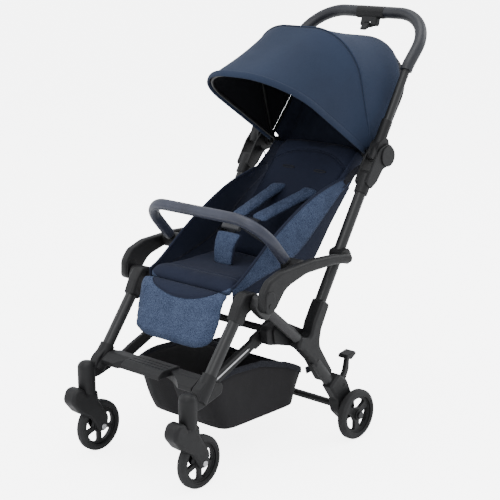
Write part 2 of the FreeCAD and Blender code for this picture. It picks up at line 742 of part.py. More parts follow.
def handle():
    """Upper handle: two straight tubes, the U-shaped core inside the grip, and the grip."""
    radius = dim("handle_tube_radius")
    half = dim("push_x")
    bends = (KINK_BEND, dim("grip_bend"), dim("grip_bend"), KINK_BEND)
    tubes = swept(handle_corners(half, HANDLE_FOOT_Z), bends, radius)
    hollow = swept(handle_corners(half, HANDLE_FOOT_Z), bends, radius - dim("tube_wall"))
    grip = swept(handle_corners(half, HANDLE_TOP_Z - 12.0), bends, dim("grip_radius"))
    housing_half = 44.0
    middle = box_between(at(-housing_half, *(value - 80 for value in GRIP_TOP)),
                         at(housing_half, *(value + 80 for value in GRIP_TOP)))
    grip = grip.cut(middle)
    solid("handle_tube", tubes.cut(hollow))
    solid("handle_grip", grip.cut(tubes).cut(hollow))
    handle_housing(housing_half)


def handle_housing(half):
    """Release housing round the middle of the grip, with a trigger hinged under it."""
    y, z = GRIP_TOP
    shell = soft_prism(((y - 17, z - 17, 8), (y - 16, z + 15.5, 14), (y + 16, z + 15.5, 14),
                        (y + 17, z - 16, 14)), -half, half, 2.0)
    gland = soft_prism(((y - 25, z - 36, 5), (y - 15, z - 8, 6), (y + 6, z - 8, 4),
                        (y - 3, z - 37, 6)), -26.0, 26.0, 5.0)
    core = rod(at(-half - 1, *GRIP_TOP), at(half + 1, *GRIP_TOP), dim("handle_tube_radius"))
    body = shell.fuse(gland).cut(core)
    room = box_between(at(-9, y - 60, z - 60), at(9, y + 40, z - 25))
    pin = rod(at(-27, *TRIGGER_PIVOT), at(27, *TRIGGER_PIVOT), TRIGGER_PIN)
    solid("handle_housing", body.cut(room).fuse(pin).removeSplitter())
    low, high = -9 + dim("gap"), 9 - dim("gap")
    lever = soft_prism(((y - 46, z - 47, 3), (y - 42, z - 37, 4), (y - 24, z - 27, 6),
                        (y - 6, z - 27, 4), (y - 6, z - 40, 4), (y - 24, z - 40, 6)),
                       low, high, 1.5)
    clear_pin = rod(at(-27, *TRIGGER_PIVOT), at(27, *TRIGGER_PIVOT),
                    TRIGGER_PIN + dim("bore_play"))
    solid("fold_trigger", lever.cut(clear_pin))


TRIGGER_PIVOT = (GRIP_TOP[0] - 13.0, GRIP_TOP[1] - 33.0)


# ---------------------------------------------------------------- seat

BACK_FOOT, BACK_HEAD = (404.0, 436.0), (652.0, 706.0)


def strip_outline(start, end, low, high, corner):
    """Outline of a slab along a side-view line, between two offsets square to the line."""
    length = math.hypot(end[0] - start[0], end[1] - start[1])
    square = (-(end[1] - start[1]) / length, (end[0] - start[0]) / length)
    return tuple((point[0] + square[0] * offset, point[1] + square[1] * offset, corner)
                 for point, offset in ((start, low), (end, low), (end, high), (start, high)))


def seat():
    """Seat base, backrest, side panels and calf rest, as plain closed solids."""
    half = dim("seat_half")
    width = "2 * Dimensions.seat_half"
    padded_block("seat_base", ((147, 400, 10), (145, 430, 14), (180, 444, 30), (392, 446, 6),
                               (392, 414, 6), (240, 404, 30)), width, 6.0)
    padded_block("backrest", strip_outline(BACK_FOOT, BACK_HEAD, -12.0, 14.0, 8.0), width, 6.0)
    panels = []
    for side, _ in SIDES:
        low, high = side_range(side, half + 0.6, half + 4.4)
        panels.append(prism(((150, 402, 6), (148, 434, 10), (188, 452, 30), (300, 532, 60),
                             (560, 664, 30), (622, 690, 6), (400, 424, 20)), low, high))
    solid("side_panels", Part.makeCompound(panels))
    padded_block("calf_rest", ((140, 421, 7), (124, 426, 8), (112, 392, 40), (68, 300, 10),
                               (86, 290, 10), (128, 366, 40), (140, 398, 6)),
                 "2 * Dimensions.calf_half", 6.0)


def harness():
    """Shoulder pads on the backrest, crotch strap, buckle and its button."""
    shoulder = []
    for side, _ in SIDES:
        foot, head = at(side * 32.0, 352.0, 548.0), at(side * 52.0, 522.0, 592.0)
        length = foot.distanceToPoint(head)
        pad = Part.makeBox(38.0, length, 12.0, Vec(-19, 0, -6))
        pad = soften(pad, 5.0, lambda edge: True)
        pad.Placement = FreeCAD.Placement(foot, FreeCAD.Rotation(Y_AXIS, head - foot))
        shoulder.append(pad)
    solid("shoulder_pads", Part.makeCompound(shoulder))
    padded_block("crotch_pad", ((258, 447, 2), (270, 500, 20), (285, 526, 4), (297, 519, 4),
                                (284, 496, 20), (274, 447, 2)), "2 * Dimensions.crotch_half", 1.5)
    buckle_low, buckle_high = (292.0, 529.0), (318.0, 560.0)
    buckle = soft_prism(strip_outline(buckle_low, buckle_high, -7.0, 7.0, 4.0), -28.0, 28.0, 3.0)
    middle = between(buckle_low, buckle_high, 0.5)
    out = Vec(0, -(buckle_high[1] - buckle_low[1]), buckle_high[0] - buckle_low[0]).normalize()
    well = Part.makeCylinder(9.0 + dim("gap"), 9.0, at(0, *middle) + out * 1.0, out)
    button = Part.makeCylinder(9.0, 7.0, at(0, *middle) + out * 3.5, out)
    button = soften(button, 1.5, lambda edge: edge.CenterOfMass.distanceToPoint(
        at(0, *middle) + out * 10.5) < 0.5)
    solid("buckle", buckle.cut(well))
    solid("buckle_button", button)


BUMPER_BEND = 80.0
BUMPER_RADIUS = 13.0
BUMPER_PLUG_RADIUS = 7.0
BUMPER_PLUG_LENGTH = 34.0


def bumper_points(side):
    """Plug end and the top of the straight leg of the bumper bar."""
    return at(side * 190.0, 294.0, 465.0), at(side * 190.0, 181.0, 592.0)


def bumper_plug(side, play):
    plug, top = bumper_points(side)
    return rod(plug, plug + (top - plug).normalize() * BUMPER_PLUG_LENGTH,
               BUMPER_PLUG_RADIUS + play)


def bumper_bar():
    """Padded U-shaped bar with a plug at each end for the armrest sockets."""
    left_plug, left_top = bumper_points(LEFT)
    right_plug, right_top = bumper_points(RIGHT)
    rise = (left_top - left_plug).normalize()
    foot = rise * (BUMPER_PLUG_LENGTH - 4.0)
    bar = swept((left_plug + foot, left_top, right_top, right_plug + foot),
                (BUMPER_BEND, BUMPER_BEND), BUMPER_RADIUS)
    plugs = [bumper_plug(side, 0.0) for side, _ in SIDES]
    solid("bumper_bar", bar.fuse(plugs).removeSplitter())


# ---------------------------------------------------------------- canopy

# Each bow is a U in a plane that holds the handle fold axis: the plane's angle up from
# +Y, the height and half width of the U, its corner bend and where its legs begin.
FRONT_BOW = dict(angle=146.5, height=390.0, half=157.0, bend=138.0, foot=24.0)
MIDDLE_BOW = dict(angle=105.0, height=323.0, half=170.0, bend=124.0, foot=24.0)
REAR_RIM = dict(angle=50.0, height=317.0, half=179.0, bend=172.0, foot=44.0)


def in_bow_plane(angle, x, out):
    turn = math.radians(angle)
    return at(x, LOCK[0] + out * math.cos(turn), LOCK[1] + out * math.sin(turn))


def bow_corners(bow, inset, foot, angle=None):
    """Corner points of a bow's U, moved inward from its outline by an inset."""
    plane = bow["angle"] if angle is None else angle
    half, height = bow["half"] - inset, bow["height"] - inset
    return tuple(in_bow_plane(plane, x, out)
                 for x, out in ((-half, foot), (-half, height), (half, height), (half, foot)))


def shell_profile(bow, angle):
    """Closed wire of a fabric band's section in one bow plane."""
    thick = dim("fabric")
    outer = bent_path(bow_corners(bow, 0.0, bow["foot"], angle), (bow["bend"],) * 2)
    inner = bent_path(bow_corners(bow, thick, bow["foot"], angle), (bow["bend"] - thick,) * 2)
    edges = [edge.toShape() for edge in outer]
    edges.append(Part.makeLine(outer[-1].EndPoint, inner[-1].EndPoint))
    edges += [edge.toShape() for edge in reversed(inner)]
    edges.append(Part.makeLine(inner[0].StartPoint, outer[0].StartPoint))
    return Part.Wire(edges)


def fabric_band(label, first, second, gap_angle):
    """Closed solid of the fabric that is stretched between two bows."""
    lean = gap_angle if second["angle"] > first["angle"] else -gap_angle
    profiles = [shell_profile(first, first["angle"] + lean),
                shell_profile(second, second["angle"] - lean)]
    solid(label, Part.makeLoft(profiles, True, True))


def bow(label, shape, radius, inset, layer):
    """Bow rod with an eye at each foot, between two distances from the middle."""
    rod_shape = swept(bow_corners(shape, inset, 6.0), (shape["bend"] - inset,) * 2, radius)
    eyes = [rod(at(side * layer[0], *LOCK), at(side * layer[1], *LOCK), 11.0)
            for side, _ in SIDES]
    pins = [rod(at(side * 130, *LOCK), at(side * 200, *LOCK), HOOD_PIN + dim("bore_play"))
            for side, _ in SIDES]
    body = rod_shape.fuse(eyes)
    for pin in pins:
        body = body.cut(pin)
    solid(label, body.removeSplitter())


def canopy():
    bow("canopy_front_bow", FRONT_BOW, 3.5, 10.0, (143.0, 150.8))
    bow("canopy_middle_bow", MIDDLE_BOW, 3.5, 8.0, (158.2, 165.8))
    rim_rod = swept(bow_corners(REAR_RIM, 7.5, 6.0), (REAR_RIM["bend"] - 7.5,) * 2, 4.0)
    hubs = []
    for side, _ in SIDES:
        hubs.append(rod(at(side * 167.5, *LOCK), at(side * 176.5, *LOCK), 16.0))
        hubs.append(rod(at(side * 141.0, *LOCK), at(side * 172.0, *LOCK), HOOD_PIN))
    rim_shape = rim_rod.fuse(hubs).removeSplitter()
    for side, _ in SIDES:
        rim_shape = rim_shape.cut(rod(at(side * 174.5, *LOCK), at(side * 200, *LOCK), HINGE_PIN))
    solid("canopy_rear_rim", rim_shape)
    fabric_band("canopy_front", FRONT_BOW, MIDDLE_BOW, 0.25)
    fabric_band("canopy_rear", MIDDLE_BOW, REAR_RIM, 0.25)


# ---------------------------------------------------------------- basket

def basket():
    """Hanging fabric basket, open at the top."""
    half, wall = 136.0, dim("fabric")
    outer = prism(((76, 216, 0), (100, 112, 40), (150, 84, 60), (392, 80, 30),
                   (434, 158, 0), (252, 250, 120)), -half, half)
    inner = prism(((76 + wall, 230, 0), (100 + wall, 112, 40), (150, 84 + wall, 60),
                   (392 - wall, 80 + wall, 30), (434 - wall, 158, 0), (434 - wall, 300, 0),
                   (76 + wall, 300, 0)), wall - half, half - wall)
    solid("basket", outer.cut(inner))


# ---------------------------------------------------------------- assembly

def build():
    for side, name in SIDES:
        front_wheel = ("%d * Dimensions.front_track_half" % side, "-Dimensions.origin_y",
                       "Dimensions.wheel_radius")
        rear_wheel = ("%d * Dimensions.rear_track_half" % side,
                      "Dimensions.wheelbase - Dimensions.origin_y", "Dimensions.wheel_radius")
        tyre("front_tyre_" + name, front_wheel)
        rim("front_rim_" + name, front_wheel, 5)
        axle("front_axle_" + name, front_wheel, FORK_HALF)
        tyre("rear_tyre_" + name, rear_wheel)
        rim("rear_rim_" + name, rear_wheel, 3)
        caster_fork(side, name)
        caster_housing(side, name)
        front_leg(side, name)
        front_hub(side, name)
        rear_leg(side, name)
        rear_hub(side, name)
        diagonal_tube(side, name)
        push_tube(side, name)
        hinge_housing(side, name)
        upper_hinge(side, name)
        armrest(side, name)
        rear_bracket(side, name)
    footrest()
    rear_axle()
    braces()
    crossbar()
    frame_bolts()
    brake_pedal()
    handle()
    seat()
    harness()
    bumper_bar()
    canopy()
    basket()


def check_document():
    """Stop if any object failed or any sub-part has no valid solid."""
    DOC.recompute()
    for thing in DOC.Objects:
        if "Invalid" in thing.State or "Error" in thing.State:
            raise RuntimeError("%s failed: %s" % (thing.Label, thing.State))
    for node in NODES:
        shape = node.Shape
        if shape.isNull() or not shape.isValid() or shape.Volume < 1.0:
            raise RuntimeError("%s has no valid solid" % node.Label)


def export():
    os.makedirs("parts", exist_ok=True)
    for node in NODES:
        node.Shape.exportStep("parts/%s.step" % node.Label)
        print("%-24s %2d solids %9.0f mm3" % (node.Label, len(node.Shape.Solids),
                                              node.Shape.Volume))
    print(len(NODES), "sub-parts")


build()
check_document()
export()
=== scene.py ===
import json
import math

import bpy
import bmesh
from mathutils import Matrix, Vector, noise
from mathutils.bvhtree import BVHTree
from mathutils.kdtree import KDTree


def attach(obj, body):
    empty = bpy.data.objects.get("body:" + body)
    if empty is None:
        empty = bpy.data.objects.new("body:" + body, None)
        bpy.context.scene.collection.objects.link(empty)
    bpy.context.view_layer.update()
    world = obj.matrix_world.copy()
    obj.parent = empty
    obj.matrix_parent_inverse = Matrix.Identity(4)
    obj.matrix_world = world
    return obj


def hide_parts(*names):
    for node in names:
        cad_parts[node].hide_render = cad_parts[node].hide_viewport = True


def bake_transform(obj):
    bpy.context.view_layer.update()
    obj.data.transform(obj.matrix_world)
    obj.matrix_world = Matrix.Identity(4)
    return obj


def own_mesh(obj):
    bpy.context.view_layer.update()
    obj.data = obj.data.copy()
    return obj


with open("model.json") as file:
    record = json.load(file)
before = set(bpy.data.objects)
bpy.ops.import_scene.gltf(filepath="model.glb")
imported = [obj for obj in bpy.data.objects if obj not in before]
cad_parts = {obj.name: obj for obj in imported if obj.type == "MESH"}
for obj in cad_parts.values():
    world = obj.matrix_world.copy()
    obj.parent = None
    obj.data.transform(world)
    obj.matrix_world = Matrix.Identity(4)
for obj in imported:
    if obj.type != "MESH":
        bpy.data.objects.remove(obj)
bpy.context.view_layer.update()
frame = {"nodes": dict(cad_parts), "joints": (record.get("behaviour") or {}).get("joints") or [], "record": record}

# The upholstery, hood, basket and finishes of a folding baby stroller, fitted round its frame.
# Side-view places are millimetres in the frame model's own side view: y from the front axles,
# z from the ground.  at() turns them into metres in the row frame.

JOINTS = {joint["name"]: joint for joint in frame["joints"]}
LOCK = (632.0, 690.0)
SHIFT = JOINTS["handle_fold"]["pos_m"][1] - LOCK[0] / 1000
SIDES = ((1, "left"), (-1, "right"))


def at(x, y, z):
    return Vector((x / 1000, y / 1000 + SHIFT, z / 1000))


# ---------------------------------------------------------------- meshes

def add_mesh(name, points, faces, smooth=True):
    mesh = bpy.data.meshes.new(name)
    mesh.from_pydata([tuple(point) for point in points], [], faces)
    mesh.validate()
    piece = bpy.data.objects.new(name, mesh)
    bpy.context.scene.collection.objects.link(piece)
    tidy_normals(piece)
    for face in mesh.polygons:
        face.use_smooth = smooth
    return piece


def tidy_normals(piece):
    work = bmesh.new()
    work.from_mesh(piece.data)
    bmesh.ops.remove_doubles(work, verts=work.verts, dist=1e-6)
    bmesh.ops.recalc_face_normals(work, faces=work.faces)
    work.to_mesh(piece.data)
    work.free()


def bake(piece):
    """Make the modified mesh the piece's own mesh."""
    bpy.context.view_layer.update()
    depsgraph = bpy.context.evaluated_depsgraph_get()
    mesh = bpy.data.meshes.new_from_object(piece.evaluated_get(depsgraph))
    piece.modifiers.clear()
    piece.data = mesh
    for face in mesh.polygons:
        face.use_smooth = True
    return piece


def subdivided(piece, levels=1):
    modifier = piece.modifiers.new("subdivide", "SUBSURF")
    modifier.levels = modifier.render_levels = levels
    return bake(piece)


def sheet_between(name, outer, inner, rows, columns):
    """Closed thin shell between two surfaces, each a function of row and column shares."""
    points, faces = [], []
    for surface in (outer, inner):
        for row in range(rows + 1):
            for column in range(columns + 1):
                points.append(surface(row / rows, column / columns))
    wide = columns + 1
    layer = (rows + 1) * wide
    for row in range(rows):
        for column in range(columns):
            corner = row * wide + column
            quad = (corner, corner + 1, corner + wide + 1, corner + wide)
            faces.append(quad)
            faces.append(tuple(layer + index for index in reversed(quad)))
    rim = list(range(wide))
    rim += [row * wide + columns for row in range(1, rows + 1)]
    rim += [rows * wide + column for column in range(columns - 1, -1, -1)]
    rim += [row * wide for row in range(rows - 1, 0, -1)]
    for here, there in zip(rim, rim[1:] + rim[:1]):
        faces.append((here, layer + here, layer + there, there))
    return add_mesh(name, points, faces)


def swept(name, path, section, normal_hint, closed_ends=True):
    """Sweep a section of (side, up) metres along a path of points.

    normal_hint gives the up direction at each path share."""
    count = len(path)
    points, faces = [], []
    for step, here in enumerate(path):
        before, after = path[max(step - 1, 0)], path[min(step + 1, count - 1)]
        along = (after - before).normalized()
        up = normal_hint(step / (count - 1))
        side = along.cross(up).normalized()
        up = side.cross(along).normalized()
        outline = section(step / (count - 1)) if callable(section) else section
        points += [here + side * u + up * v for u, v in outline]
        wide = len(outline)
    for step in range(count - 1):
        for index in range(wide):
            following = (index + 1) % wide
            faces.append((step * wide + index, step * wide + following,
                          (step + 1) * wide + following, (step + 1) * wide + index))
    if closed_ends:
        faces.append(tuple(range(wide)))
        faces.append(tuple((count - 1) * wide + index for index in reversed(range(wide))))
    return add_mesh(name, points, faces)


def oval(half_width, half_height, count=20, power=1.0):
    """Closed section: an ellipse, or a flatter one for powers under 1."""
    outline = []
    for index in range(count):
        turn = 2 * math.pi * index / count
        across, up = math.cos(turn), math.sin(turn)
        outline.append((half_width * math.copysign(abs(across) ** power, across),
                        half_height * math.copysign(abs(up) ** power, up)))
    return outline


def smooth_path(corners, steps):
    """Points along a Catmull-Rom curve through the corners."""
    ends = [corners[0] * 2 - corners[1]] + list(corners) + [corners[-1] * 2 - corners[-2]]
    path = []
    spans = len(corners) - 1
    for step in range(steps + 1):
        place = spans * step / steps
        span = min(int(place), spans - 1)
        share = place - span
        a, b, c, d = ends[span:span + 4]
        path.append(0.5 * (2 * b + (c - a) * share + (2 * a - 5 * b + 4 * c - d) * share ** 2
                           + (3 * b - a - 3 * c + d) * share ** 3))
    return path


def bent_path(corners, bends, arc_steps=14):
    """Points along straight runs with a round bend at each inner corner."""
    path = [corners[0]]
    for before, corner, after, bend in zip(corners, corners[1:], corners[2:], bends):
        back, ahead = (before - corner).normalized(), (after - corner).normalized()
        half_turn = back.angle(ahead) / 2
        reach = bend / math.tan(half_turn)
        middle = (back + ahead).normalized()
        centre = corner + middle * (bend / math.sin(half_turn))
        start, end = corner + back * reach - centre, corner + ahead * reach - centre
        for step in range(arc_steps + 1):
            share = step / arc_steps
            path.append(centre + start.normalized().slerp(end.normalized(), share) * bend)
    path.append(corners[-1])
    return path


def even_path(path, count):
    """The same path as evenly spaced points."""
    lengths = [0.0]
    for before, after in zip(path, path[1:]):
        lengths.append(lengths[-1] + (after - before).length)
    result, index = [], 0
    for step in range(count + 1):
        place = lengths[-1] * step / count
        while index < len(path) - 2 and lengths[index + 1] < place:
            index += 1
        span = lengths[index + 1] - lengths[index]
        share = (place - lengths[index]) / span if span > 0 else 0.0
        result.append(path[index].lerp(path[index + 1], min(max(share, 0.0), 1.0)))
    return result


def puffed(piece, cap, voxel=0.0055, pressure=4.0, half=None):
    """Inflate a closed pad with cloth pressure, no point moving further than the cap.

    half keeps the pad within a distance of the middle, where its neighbours hold it in."""
    remesh = piece.modifiers.new("remesh", "REMESH")
    remesh.mode = "VOXEL"
    remesh.voxel_size = voxel
    bake(piece)
    rest = [vertex.co.copy() for vertex in piece.data.vertices]
    cloth = piece.modifiers.new("cloth", "CLOTH")
    cloth.settings.quality = 5
    cloth.settings.mass = 0.3
    cloth.settings.tension_stiffness = 12
    cloth.settings.compression_stiffness = 12
    cloth.settings.shear_stiffness = 5
    cloth.settings.bending_stiffness = 0.4
    cloth.settings.use_pressure = True
    cloth.settings.uniform_pressure_force = pressure
    cloth.settings.effector_weights.gravity = 0
    scene = bpy.context.scene
    for number in range(1, 21):
        scene.frame_set(number)
    bake(piece)
    for vertex, start in zip(piece.data.vertices, rest):
        move = vertex.co - start
        if move.length > cap:
            vertex.co = start + move * (cap / move.length)
    scene.frame_set(1)
    relax = piece.modifiers.new("relax", "SMOOTH")
    relax.factor = 0.5
    relax.iterations = 4
    bake(piece)
    subdivided(piece)
    if half:
        for vertex in piece.data.vertices:
            vertex.co.x = min(max(vertex.co.x, -half / 1000), half / 1000)
    return piece


def finish_piece(piece, surface, body=None):
    piece.data.materials.clear()
    piece.data.materials.append(surface)
    if body:
        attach(piece, body)
    return piece


# ---------------------------------------------------------------- materials

class Surface:
    """Small builder for a node material with layered bumps."""

    def __init__(self, name, roughness, metallic=0.0, sheen=0.0, coat=0.0, specular=0.5):
        self.material = bpy.data.materials.new(name)
        self.material.use_nodes = True
        self.nodes = self.material.node_tree.nodes
        self.links = self.material.node_tree.links
        self.shader = self.nodes["Principled BSDF"]
        self.shader.inputs["Roughness"].default_value = roughness
        self.shader.inputs["Metallic"].default_value = metallic
        self.shader.inputs["Sheen Weight"].default_value = sheen
        self.shader.inputs["Sheen Roughness"].default_value = 0.4
        self.shader.inputs["Coat Weight"].default_value = coat
        self.shader.inputs["Specular IOR Level"].default_value = specular
        self.coordinates = self.nodes.new("ShaderNodeTexCoord").outputs["Object"]
        self.bumped = None

    def scaled(self, scale):
        mapping = self.nodes.new("ShaderNodeMapping")
        mapping.inputs["Scale"].default_value = scale
        self.links.new(self.coordinates, mapping.inputs["Vector"])
        return mapping.outputs["Vector"]

    def noise(self, scale, detail=3.0, stretch=(1, 1, 1)):
        texture = self.nodes.new("ShaderNodeTexNoise")
        texture.inputs["Scale"].default_value = scale
        texture.inputs["Detail"].default_value = detail
        self.links.new(self.scaled(stretch), texture.inputs["Vector"])
        return texture.outputs["Fac"]

    def cells(self, scale, feature="F1"):
        texture = self.nodes.new("ShaderNodeTexVoronoi")
        texture.feature = feature
        texture.inputs["Scale"].default_value = scale
        self.links.new(self.coordinates, texture.inputs["Vector"])
        return texture.outputs["Distance"]

    def threads(self, scale, direction):
        texture = self.nodes.new("ShaderNodeTexWave")
        texture.bands_direction = direction
        texture.inputs["Scale"].default_value = scale
        texture.inputs["Distortion"].default_value = 1.2
        texture.inputs["Detail"].default_value = 1.0
        self.links.new(self.coordinates, texture.inputs["Vector"])
        return texture.outputs["Fac"]

    def combine(self, kind, first, second):
        node = self.nodes.new("ShaderNodeMath")
        node.operation = kind
        for socket, value in zip(node.inputs, (first, second)):
            if isinstance(value, (int, float)):
                socket.default_value = value
            else:
                self.links.new(value, socket)
        return node.outputs["Value"]

    def ramp(self, factor, stops):
        node = self.nodes.new("ShaderNodeValToRGB")
        elements = node.color_ramp.elements
        while len(elements) < len(stops):
            elements.new(0.5)
        for element, (place, colour) in zip(elements, stops):
            element.position = place
            element.color = (*colour, 1.0)
        self.links.new(factor, node.inputs["Fac"])
        return node.outputs["Color"]

    def colour(self, factor, stops):
        self.links.new(self.ramp(factor, stops), self.shader.inputs["Base Color"])

    def roughness(self, factor, low, high):
        span = self.combine("MULTIPLY", factor, high - low)
        self.links.new(self.combine("ADD", span, low), self.shader.inputs["Roughness"])

    def bump(self, height, strength, distance):
        node = self.nodes.new("ShaderNodeBump")
        node.inputs["Strength"].default_value = strength
        node.inputs["Distance"].default_value = distance
        self.links.new(height, node.inputs["Height"])
        if self.bumped:
            self.links.new(self.bumped, node.inputs["Normal"])
        self.bumped = node.outputs["Normal"]
        self.links.new(self.bumped, self.shader.inputs["Normal"])


def shades(colour, low, high):
    """Darker and lighter versions of a colour as two ramp stops."""
    return ((0.3, tuple(value * low for value in colour)),
            (0.7, tuple(value * high for value in colour)))


def painted_metal():
    surface = Surface("satin_powder_coat", 0.42, coat=0.05, specular=0.35)
    speckle = surface.noise(1400.0, 2.0)
    surface.colour(surface.noise(18.0, 3.0), shades((0.0085, 0.0085, 0.009), 0.85, 1.2))
    surface.roughness(surface.noise(60.0, 4.0), 0.36, 0.50)
    surface.bump(speckle, 0.25, 0.0002)
    return surface.material


def moulded_plastic(name="moulded_plastic", colour=(0.0065, 0.0065, 0.007)):
    surface = Surface(name, 0.5, specular=0.24)
    surface.colour(surface.noise(25.0, 4.0), shades(colour, 0.85, 1.2))
    surface.roughness(surface.noise(90.0, 3.0), 0.42, 0.58)
    surface.bump(surface.cells(1600.0), 0.30, 0.00025)
    return surface.material


def tyre_rubber():
    surface = Surface("tyre_foam", 0.72, specular=0.3)
    surface.colour(surface.noise(40.0, 5.0), shades((0.012, 0.012, 0.0125), 0.8, 1.3))
    surface.bump(surface.noise(700.0, 3.0), 0.35, 0.0004)
    surface.bump(surface.noise(35.0, 3.0), 0.10, 0.0008)
    return surface.material


def plated_steel():
    surface = Surface("plated_steel", 0.3, metallic=1.0)
    surface.colour(surface.noise(60.0, 3.0), shades((0.45, 0.45, 0.46), 0.85, 1.1))
    surface.roughness(surface.noise(300.0, 2.0, (1, 8, 8)), 0.22, 0.38)
    return surface.material


def leatherette(name, colour):
    surface = Surface(name, 0.46, specular=0.35, sheen=0.03)
    grain = surface.cells(430.0, "DISTANCE_TO_EDGE")
    surface.colour(surface.noise(22.0, 4.0), shades(colour, 0.8, 1.25))
    surface.roughness(surface.noise(120.0, 4.0), 0.34, 0.52)
    surface.bump(grain, 0.45, 0.0006)
    surface.bump(surface.noise(14.0, 3.0), 0.15, 0.0015)
    return surface.material


def plain_weave(name, colour, scale=620.0, sheen=0.03, roughness=0.82, wrinkle=0.35):
    surface = Surface(name, roughness, sheen=sheen, specular=0.12)
    weave = surface.combine("MULTIPLY", surface.threads(scale, "DIAGONAL"),
                            surface.threads(scale, "Z"))
    tone = surface.combine("ADD", surface.combine("MULTIPLY", surface.noise(5.0, 3.0), 0.7),
                           surface.combine("MULTIPLY", surface.noise(420.0, 2.0), 0.3))
    surface.colour(tone, shades(colour, 0.80, 1.22))
    surface.bump(weave, 0.25, 0.0004)
    surface.bump(surface.noise(11.0, 3.0, (1.0, 1.0, 0.6)), wrinkle, 0.006)
    return surface.material


def melange_weave():
    surface = Surface("melange_weave", 0.88, sheen=0.03, specular=0.1)
    across = surface.noise(1.0, 3.0, (260.0, 260.0, 1900.0))
    upward = surface.noise(1.0, 3.0, (1900.0, 1900.0, 260.0))
    threads = surface.combine("MAXIMUM", across, upward)
    patches = surface.noise(30.0, 3.0)
    tone = surface.combine("ADD", surface.combine("MULTIPLY", threads, 0.92),
                           surface.combine("MULTIPLY", patches, 0.08))
    surface.colour(tone, ((0.46, (0.009, 0.014, 0.032)), (0.52, (0.021, 0.032, 0.064)),
                          (0.60, (0.070, 0.092, 0.150))))
    surface.bump(threads, 0.4, 0.0008)
    surface.bump(surface.noise(12.0, 3.0), 0.15, 0.003)
    return surface.material


def webbing():
    surface = Surface("webbing", 0.85, sheen=0.03, specular=0.12)
    surface.colour(surface.noise(200.0, 3.0), shades((0.016, 0.017, 0.022), 0.7, 1.4))
    surface.bump(surface.threads(500.0, "DIAGONAL"), 0.6, 0.0006)
    return surface.material


def sewing_thread():
    surface = Surface("sewing_thread", 0.7, specular=0.2)
    surface.colour(surface.noise(900.0, 2.0), shades((0.030, 0.036, 0.055), 0.8, 1.3))
    surface.bump(surface.threads(1500.0, "DIAGONAL"), 0.4, 0.0002)
    return surface.material


PAINT = painted_metal()
PLASTIC = moulded_plastic()
RUBBER = tyre_rubber()
STEEL = plated_steel()
GRIP = leatherette("grip_leatherette", (0.011, 0.012, 0.016))
BUMPER = leatherette("bumper_leatherette", (0.022, 0.025, 0.040))
HOOD = plain_weave("hood_weave", (0.0165, 0.0245, 0.046), wrinkle=0.25)
LINING = plain_weave("hood_lining", (0.006, 0.006, 0.008), wrinkle=0.4)
CURTAIN = plain_weave("hood_curtain", (0.013, 0.016, 0.028), wrinkle=0.5)
RIM_CLOTH = plain_weave("hood_rim_weave", (0.007, 0.007, 0.009), wrinkle=0.3)
SEAT = plain_weave("seat_weave", (0.010, 0.013, 0.026), wrinkle=0.45)
MELANGE = melange_weave()
BASKET = plain_weave("basket_weave", (0.014, 0.0135, 0.0145), scale=380.0,
                     roughness=0.7, wrinkle=0.7)
WEBBING = webbing()
BUCKLE = moulded_plastic("buckle_plastic", (0.035, 0.036, 0.040))
BUTTON = moulded_plastic("buckle_button_plastic", (0.36, 0.37, 0.38))
THREAD = sewing_thread()

NODE_SURFACES = {
    "frame_paint": PAINT, "plastic": PLASTIC, "tyre": RUBBER, "steel": STEEL, "grip": GRIP,
    "buckle_grey": BUTTON, "canopy_cloth": HOOD, "seat_cloth": SEAT,
    "melange_cloth": MELANGE, "basket_cloth": BASKET,
}


def dress_nodes():
    """Give every CAD node the procedural material of its slot."""
    for part in frame["record"]["subparts"]:
        node = frame["nodes"][part["node"]]
        node.data.materials.clear()
        node.data.materials.append(NODE_SURFACES[part["material_slot"]])
    frame["nodes"]["buckle"].data.materials[0] = BUCKLE


dress_nodes()


# ---------------------------------------------------------------- camera, floor and lights

def studio():
    scene = bpy.context.scene
    camera = bpy.data.cameras.new("camera")
    camera.lens = 97.98
    camera.sensor_width = 36.0
    holder = bpy.data.objects.new("camera", camera)
    holder.location = at(2200, -2065, 1284)
    holder.rotation_euler = (math.radians(90 - 14.05), 0, math.radians(42.18))
    scene.collection.objects.link(holder)
    scene.camera = holder

    size = 60.0
    floor = add_mesh("floor", [(-size, -size, 0), (size, -size, 0), (size, size, 0),
                               (-size, size, 0)], [(0, 1, 2, 3)], smooth=False)
    cover = Surface("studio_floor", 0.9, specular=0.2)
    cover.colour(cover.noise(2.0, 2.0), ((0.3, (0.95, 0.95, 0.95)), (0.7, (0.97, 0.97, 0.97))))
    seen = cover.nodes.new("ShaderNodeLightPath").outputs["Is Camera Ray"]
    cover.links.new(cover.combine("MULTIPLY", seen, 5.0),
                    cover.shader.inputs["Emission Strength"])
    cover.shader.inputs["Emission Color"].default_value = (1.0, 1.0, 1.0, 1.0)
    floor.data.materials.append(cover.material)

    world = bpy.data.worlds.new("studio")
    world.use_nodes = True
    world.node_tree.nodes["Background"].inputs["Color"].default_value = (0.95, 0.97, 1.0, 1)
    world.node_tree.nodes["Background"].inputs["Strength"].default_value = 1.35
    scene.world = world
    lamps = (
        ("key", (1.6, -3.2, 3.4), 2.6, 70.0), ("fill", (-3.2, -2.2, 2.2), 3.0, 30.0),
        ("back", (1.8, 3.4, 2.8), 2.4, 60.0), ("top", (0.0, 0.0, 4.2), 3.0, 90.0),
    )
    for name, place, size, power in lamps:
        lamp = bpy.data.lights.new(name, "AREA")
        lamp.shape = "DISK"
        lamp.size = size
        lamp.energy = power
        holder = bpy.data.objects.new(name, lamp)
        holder.location = place
        aim = Vector((0, 0, 0.5)) - Vector(place)
        holder.rotation_euler = aim.to_track_quat("-Z", "Y").to_euler()
        scene.collection.objects.link(holder)


studio()


# ---------------------------------------------------------------- hood

